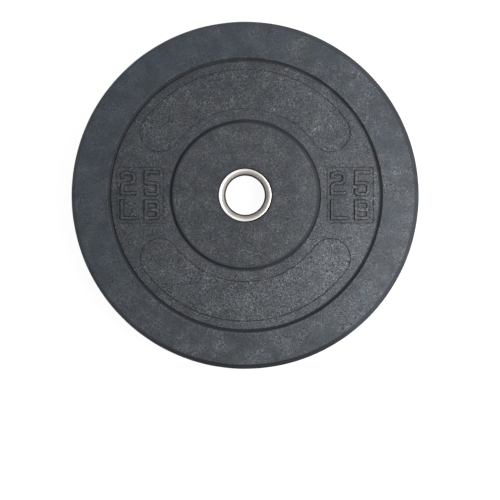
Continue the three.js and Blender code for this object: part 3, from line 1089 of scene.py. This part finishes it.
def shade(tree, at):
    """Product of random patches, the rim's haze with its painted sheen, and the painted light and shade of
    places.
    """
    high_right = ramp(tree, math(tree, "ADD", at["x"], at["y"]), 0.2, 0.27)
    # Painted light on the web's lower right, the right side and the tread's upper left, painted shade on the
    # lower hub and on the rim's bottom and upper right.
    places = [
        (product(tree, at["off_rim"], ramp(tree, at["lean"], 0.11, 0.2)), LIT_WEB),
        (lit_right_side(tree, at), LIT_RIGHT),
        (product(tree, at["Hub"], ramp(tree, at["y"], -0.06, 0.02, 1, 0.35)), LOW_HUB),
        (product(tree, at["Rim"], ramp(tree, at["y"], -0.16, -0.06, 1, 0)), LOW_RIM),
        (product(tree, at["Rim"], high_right), HIGH_RIM),
        (product(tree, at["Tread"], ramp(tree, at["lean"], -0.15, 0.15, 1, 0)), LIT_TREAD),
    ]
    factors = [between(tree, mask, 1, level) for mask, level in places]
    clouds = noise(tree, at["position"], PATCHES_PER_METRE, 3, 0.6)
    patches = ramp(tree, clouds, *CLOUD_RANGE, *PATCH_LEVELS)
    outer = between(tree, at["Outer"], *OUTER_LEVELS)
    return product(tree, patches, rim_haze_and_sheen(tree, at), outer, *factors)


# %% [markdown]
# ## Colour of the rubber
# The rim leans to blue and the web to brown in places, and scuffs are the grey of dust. On top of that lie
# the crumbs: each one's tone multiplies the colour, because a darker crumb takes away a share of the light,
# and the shreds and specks cover it.

# %% Colours of rubber and crumb
WEB_COLOUR = (0.0575, 0.065, 0.075)
RIM_COLOUR = (0.055, 0.0665, 0.081)
BROWN_COLOUR = (0.073, 0.067, 0.073)
SCUFF_COLOUR = (0.078, 0.083, 0.091)
SHRED_COLOUR = (0.22, 0.223, 0.227)
SPECK_COLOUR = (0.20, 0.20, 0.19)
RUST_COLOUR = (0.10, 0.05, 0.045)
BROWN_PER_METRE = 60
SCUFF_SHARE = 0.6
TONE_CONTRAST = 500.0
HUE_STRENGTH = 0.32


def base_colour(tree, at):
    """Web or rim colour, browned and scuffed in clouds, the scuffs partly painted light, times the shade."""
    brown = ramp(tree, noise(tree, at["position"], BROWN_PER_METRE, 4, 0.7), 0.5, 0.72, 0, 0.6)
    colour = blended(tree, at["Rim"], WEB_COLOUR, RIM_COLOUR)
    colour = blended(tree, product(tree, brown, between(tree, at["Rim"], 1, 0.4)), colour, BROWN_COLOUR)
    colour = blended(tree, product(tree, at["scuffs"], SCUFF_SHARE), colour, SCUFF_COLOUR)
    return scaled(tree, colour, shade(tree, at))


def crumb_colour(tree, grain, strength, colour):
    """Colour * (1 + HUE_STRENGTH * (hue - grey)) * TONE_CONTRAST ^ (tone * strength), then the specks."""
    hue = vector_math(tree, "SUBTRACT", grain["Hue"], (0.5, 0.5, 0.5))
    hue = vector_math(tree, "MULTIPLY_ADD", hue, (HUE_STRENGTH,) * 3, (1, 1, 1))
    colour = vector_math(tree, "MULTIPLY", colour, hue)
    tone = math(tree, "POWER", TONE_CONTRAST, product(tree, grain["Tone"], strength))
    colour = scaled(tree, colour, tone)
    colour = blended(tree, product(tree, grain["Shreds"], strength, 0.55), colour, SHRED_COLOUR)
    colour = blended(tree, product(tree, grain["Specks"], strength), colour, SPECK_COLOUR)
    return blended(tree, product(tree, grain["Rust"], strength, 0.8), colour, RUST_COLOUR)


# %% [markdown]
# ## Painted shade in hollows and on the edge
# Fine lines, the walls of the characters and the feet of the steps are painted in shade, and so is the
# chamfer at the bottom and the right. All of these are darker than the faces. The lines are broken up by
# noise.

# %% Painted shade
STEP_SHADE_COLOUR = (0.031, 0.036, 0.044)
EDGE_SHADE_COLOUR = (0.024, 0.027, 0.032)
CREVICE_SHADE_COLOUR = (0.013, 0.014, 0.016)
BREAKS_PER_METRE = 160
FOOT_SHADE = 0.75
RIGHT_EDGE_SHADE = 0.72
UPRIGHT_EDGE_SHADE = 0.1


def edge_shade_mask(tree, at):
    """Painted shade on the chamfer: most at the bottom and the right, and little on the upright tread."""
    bottom = ramp(tree, at["y"], -0.225, -0.16, 1, 0)
    right = ramp(tree, at["x"], -0.13, 0.3, 0, RIGHT_EDGE_SHADE)
    sides = math(tree, "MINIMUM", math(tree, "ADD", bottom, right), 1)
    on_chamfer = ramp(tree, at["flat"], 0.2, 0.6)
    return math(tree, "MAXIMUM", product(tree, sides, on_chamfer), between(tree, on_chamfer, UPRIGHT_EDGE_SHADE, 0))


def with_painted_shade(tree, at, colour):
    """The colour with painted shade in the feet of the steps, on the chamfer, in the fine lines and on the
    walls.
    """
    # Painted shade on steep walls, most in the characters, and in the fine lines, darker to the lower right.
    in_marks = between(tree, at["Marks"], 0.1, 0.75)
    walls = product(tree, ramp(tree, at["flat"], 0.4, 0.8, 1, 0), in_marks, at["off_tread"])
    broken = ramp(tree, noise(tree, at["position"], BREAKS_PER_METRE, 2), 0.35, 0.6, 0.4, 1)
    lines = product(tree, at["Lines"], broken, ramp(tree, at["lean"], -0.15, 0.1, 0.6, 1))
    # Painted shade in the steps' feet and round the collar's mouth, the rim's groove darkest at the bottom.
    groove = product(tree, at["Groove"], ramp(tree, at["y"], -0.17, 0.05, 1, 0.25))
    steps = math(tree, "MAXIMUM", product(tree, at["Foot"], FOOT_SHADE), groove)
    colour = blended(tree, steps, colour, STEP_SHADE_COLOUR)
    # Painted shade on the chamfer, darkest at its bottom and right, and a little on the upright tread.
    colour = blended(tree, product(tree, at["Tread"], edge_shade_mask(tree, at)), colour, EDGE_SHADE_COLOUR)
    return blended(tree, math(tree, "MAXIMUM", lines, walls), colour, CREVICE_SHADE_COLOUR)


# %% [markdown]
# ## Rubber
# Now the material only has to put the parts together. The rubber has a dull gloss, and its skin is a little
# smoother on the rim, where the mould was polished.

# %% Rubber material
RUBBER_SPECULAR = 0.15
CRUMB_RELIEF = 0.5
WEB_ROUGHNESS = 0.6
RIM_ROUGHNESS = 0.52


def rubber_material():
    material, tree = new_material("crumb_rubber_skin")
    at = read_surface(tree)
    grain = use_group(tree, crumb_group, {"Position": at["position"]})
    strength = grain_strength(tree, at)
    colour = with_painted_shade(tree, at, crumb_colour(tree, grain, strength, base_colour(tree, at)))
    relief = bumped(tree, product(tree, grain["Height"], strength), 1.0, CRUMB_RELIEF * MM)
    inputs = {"Base Color": colour, "Roughness": between(tree, at["Rim"], WEB_ROUGHNESS, RIM_ROUGHNESS)}
    ended(tree, {**inputs, "Specular IOR Level": RUBBER_SPECULAR, "Normal": relief})
    return material


dress(rubber, rubber_material())

# %% [markdown]
# ## Turned and drawn steel
# The collars are turned, which leaves rings so fine that they only show as a stretched gloss. The tube
# between them is drawn and never polished, so it is darker and duller. The anchor disc is plain mild steel
# with mill scale. All three share one group that makes fine lines round the axis, knows where a collar
# is polished, and gives the mask of a painted darker reflection on the right side.

# %% Turning marks group
RING_LINES_PER_METRE = 2600
STAIN_PER_METRE = 70
SCALE_WIDTH = 1.6
POLISH_START = 2.0
SHADED_POLISH_START = 3.6
POLISH_OVERRUN = 0.6


def turning_marks():
    """Height is noise that changes fast with the radius and the height and not at all round the axis.

    Stain is cloudy. Scale is 1 on the bore's wall, up to where the tool that cut the bell stopped. Polish
    grows from there to the lip, and starts later on the right side. The last output grows towards the right
    side, where the reflection of the steel is painted darker.
    """
    outputs = dict.fromkeys(("Height", "Stain", "Scale", "Polish", "Shaded_side"), FLOAT)
    tree, given, result = new_group("turning_marks", {"Position": VECTOR}, outputs)
    place = axes_of(tree, given["Position"])
    radius = length(tree, place["X"], place["Y"])
    lines = add_node(tree, "ShaderNodeCombineXYZ", {"X": radius, "Y": place["Z"], "Z": 0.0}).outputs[0]
    side = 0.7 * COLLAR_RADIUS * MM
    # Painted shade: a mask of the right side, where the steel's reflection is painted darker and less
    # polished.
    shaded_side = ramp(tree, place["X"], -side, side)
    start = between(tree, shaded_side, (BORE_RADIUS + POLISH_START) * MM, (BORE_RADIUS + SHADED_POLISH_START) * MM)
    lip = (COLLAR_RADIUS - LIP_ROUND + POLISH_OVERRUN) * MM
    scale_end = (BORE_RADIUS + SCALE_WIDTH) * MM
    masks = {
        "Height": noise(tree, lines, RING_LINES_PER_METRE, 2, 0.6),
        "Stain": noise(tree, given["Position"], STAIN_PER_METRE, 4, 0.6, 0.5),
        "Scale": ramp(tree, radius, scale_end - 0.4 * SCALE_WIDTH * MM, scale_end, 1, 0),
        "Polish": ramp(tree, radius, start, lip),
        "Shaded_side": shaded_side,
    }
    for name, mask in masks.items():
        tree.links.new(mask, result[name])
    return tree


turning_group = turning_marks()
print("node group", turning_group.name)

# %% [markdown]
# Each steel has a colour where it is polished, one where it is only bright and one where it is stained, and
# a roughness that the fine lines vary. Mill scale is no metal any more, so the surface is not metallic
# there.

# %% Steel materials
SCALE_COLOUR = (0.03, 0.027, 0.026)
SCALE_SPECULAR = 0.1
STAIN_RANGE = (0.4, 0.75)
LINE_RANGE = (0.3, 0.7)
STAINED_POLISH = 0.6
SHADED_SIDE_LEVEL = 0.72
DULL_ROUGHNESS = 0.3


def steel_material(name, polished, bright, stained, smoothest, roughest, relief):
    material, tree = new_material(name)
    position = add_node(tree, "ShaderNodeTexCoord").outputs["Object"]
    marks = use_group(tree, turning_group, {"Position": position})
    stain = ramp(tree, marks["Stain"], *STAIN_RANGE)
    polish = product(tree, marks["Polish"], between(tree, stain, 1, STAINED_POLISH))
    colour = blended(tree, polish, blended(tree, stain, bright, stained), polished)
    # Painted reflection: the steel is darker on its right side.
    colour = scaled(tree, colour, between(tree, marks["Shaded_side"], 1, SHADED_SIDE_LEVEL))
    duller = product(tree, math(tree, "SUBTRACT", 1, marks["Polish"]), DULL_ROUGHNESS)
    lines = ramp(tree, marks["Height"], *LINE_RANGE, smoothest, roughest)
    inputs = {
        "Base Color": blended(tree, marks["Scale"], colour, SCALE_COLOUR),
        "Metallic": between(tree, marks["Scale"], 1, 0),
        "Roughness": math(tree, "ADD", lines, duller),
        "Specular IOR Level": SCALE_SPECULAR,
        "Normal": bumped(tree, marks["Height"], 0.5, relief * MM),
    }
    ended(tree, inputs)
    return material


stainless = steel_material(
    "turned_stainless_steel", (0.90, 0.88, 0.85), (0.68, 0.64, 0.60), (0.56, 0.52, 0.48), 0.16, 0.3, 0.02
)
drawn = steel_material(
    "drawn_sleeve_steel", (0.30, 0.285, 0.27), (0.09, 0.085, 0.08), (0.05, 0.045, 0.04), 0.6, 0.75, 0.04
)
mild = steel_material(
    "mild_steel_scale", (0.20, 0.20, 0.205), (0.20, 0.20, 0.205), (0.12, 0.105, 0.095), 0.5, 0.7, 0.05
)
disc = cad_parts["anchor_disc"]
for piece, finish in ((front_ring, stainless), (rear_ring, stainless), (tube, drawn), (disc, mild)):
    dress(piece, finish)

# %% [markdown]
# ## Floor and background
# The plate lies on a white floor in a white room. A floor that is only lit would turn grey at the edges, so
# it also glows for rays that come from the camera, or by way of metal. Where the plate keeps light from it,
# it still darkens, so the shadow stays.

# %% Floor
FLOOR_SIZE = 30.0
FLOOR_COLOUR = (0.25, 0.25, 0.25)
FLOOR_GLOW = 0.92


def seen_directly(tree):
    """1 for rays from the camera and for rays that a mirror or glass sends on, and 0 for plain lighting."""
    path = add_node(tree, "ShaderNodeLightPath").outputs
    sent_on = math(tree, "MAXIMUM", path["Is Glossy Ray"], path["Is Transmission Ray"])
    return math(tree, "MAXIMUM", path["Is Camera Ray"], sent_on)


def floor_material():
    material, tree = new_material("white_floor")
    matt = add_node(tree, "ShaderNodeBsdfDiffuse", {"Color": (*FLOOR_COLOUR, 1)})
    strength = product(tree, seen_directly(tree), FLOOR_GLOW)
    glow = add_node(tree, "ShaderNodeEmission", {"Strength": strength})
    both = add_node(tree, "ShaderNodeAddShader", {0: matt.outputs[0], 1: glow.outputs[0]})
    add_node(tree, "ShaderNodeOutputMaterial", {"Surface": both.outputs[0]})
    return material


half = FLOOR_SIZE / 2
corners = [(-half, -half, 0), (half, -half, 0), (half, half, 0), (-half, half, 0)]
floor_mesh = bpy.data.meshes.new("floor")
floor_mesh.from_pydata(corners, [], [(0, 1, 2, 3)])
floor = bpy.data.objects.new("floor", floor_mesh)
bpy.context.scene.collection.objects.link(floor)
dress(floor, floor_material())

# %% [markdown]
# The room lights the plate softly, and more from the top of the picture (+Y) than from its bottom. The
# camera and the steel see the same room as plain white.

# %% Room
ROOM_LIGHT = 0.34
WHITE = (1, 1, 1, 1)

world = bpy.data.worlds.new("white_room")
bpy.context.scene.world = world
world.use_nodes = True
around = world.node_tree
around.nodes.clear()
direction = axes_of(around, add_node(around, "ShaderNodeTexCoord").outputs["Generated"])
room_level = ramp(around, direction["Y"], -0.9, 0.9, 0, 2 * ROOM_LIGHT)
room = add_node(around, "ShaderNodeBackground", {"Color": WHITE, "Strength": room_level})
backdrop = add_node(around, "ShaderNodeBackground", {"Color": WHITE, "Strength": 1.0})
either = {0: seen_directly(around), 1: room.outputs[0], 2: backdrop.outputs[0]}
chosen = add_node(around, "ShaderNodeMixShader", either)
add_node(around, "ShaderNodeOutputWorld", {"Surface": chosen.outputs[0]})
print(f"room light from 0 at the bottom of the picture to {2 * ROOM_LIGHT:.2f} at its top")

# %% [markdown]
# ## Lamp
# The face is lit by one large soft lamp to the right of the camera and a little below it. It is close
# enough to fade across the plate, and the dull gloss of the rubber adds to the right side.

# %% Soft lamp
LAMP_PLACE = (0.43, -0.05, 0.52)
LAMP_TARGET = (0.15, -0.02, 0.03)
LAMP_SIZE = 0.6
LAMP_POWER = 4.75

lamp = bpy.data.objects.new("key_lamp", bpy.data.lights.new("key_lamp", "AREA"))
lamp.data.shape = "SQUARE"
lamp.data.size = LAMP_SIZE
lamp.data.energy = LAMP_POWER
lamp.location = LAMP_PLACE
aim = Vector(LAMP_TARGET) - Vector(LAMP_PLACE)
lamp.rotation_euler = aim.to_track_quat("-Z", "Y").to_euler()
bpy.context.scene.collection.objects.link(lamp)
print(f"lamp of {LAMP_POWER} W, {aim.length:.2f} m from where it is aimed")

# %% [markdown]
# ## Camera
# The plate is seen face-on, from 1.2 metres in front of it and less than half a degree off its axis. The
# focal length follows from the plate's size in the picture, and the lens is shifted so that the plate sits
# in the upper part of the frame without being seen at a slant.

# %% Camera
PICTURE_SIZE = 500
SENSOR_WIDTH = 36.0
PLATE_DIAMETER_IN_PIXELS = 347.65
PLATE_CENTRE_IN_PIXELS = (245.1, 195.1)
CAMERA_DISTANCE = 1.2
CAMERA_TILT = np.radians(0.4)
CAMERA_SIDE = np.radians(290)

widest_height = (MIDDLE + RIM_HEIGHT - EDGE_CHAMFER_HEIGHT) * MM
camera = bpy.data.objects.new("camera", bpy.data.cameras.new("camera"))
off_axis = np.sin(CAMERA_TILT)
back = Vector((off_axis * np.cos(CAMERA_SIDE), off_axis * np.sin(CAMERA_SIDE), np.cos(CAMERA_TILT)))
right = Vector((0, 1, 0)).cross(back).normalized()
camera.location = Vector((0, 0, widest_height)) + back * CAMERA_DISTANCE
camera.rotation_euler = Matrix((right, back.cross(right), back)).transposed().to_euler()
focal_in_pixels = PLATE_DIAMETER_IN_PIXELS * CAMERA_DISTANCE / (2 * PLATE_RADIUS * MM)
camera.data.sensor_width = SENSOR_WIDTH
camera.data.lens = focal_in_pixels * SENSOR_WIDTH / PICTURE_SIZE
camera.data.shift_x = (PICTURE_SIZE / 2 - PLATE_CENTRE_IN_PIXELS[0]) / PICTURE_SIZE
camera.data.shift_y = (PLATE_CENTRE_IN_PIXELS[1] - PICTURE_SIZE / 2) / PICTURE_SIZE
bpy.context.scene.collection.objects.link(camera)
bpy.context.scene.camera = camera
print(f"lens {camera.data.lens:.1f} mm, shift {camera.data.shift_x:.3f}, {camera.data.shift_y:.3f}")

# %% [markdown]
# ## Colours at the end
# The standard view transform shows colours as they are written.

# %% Finish
bpy.context.scene.view_settings.view_transform = "Standard"
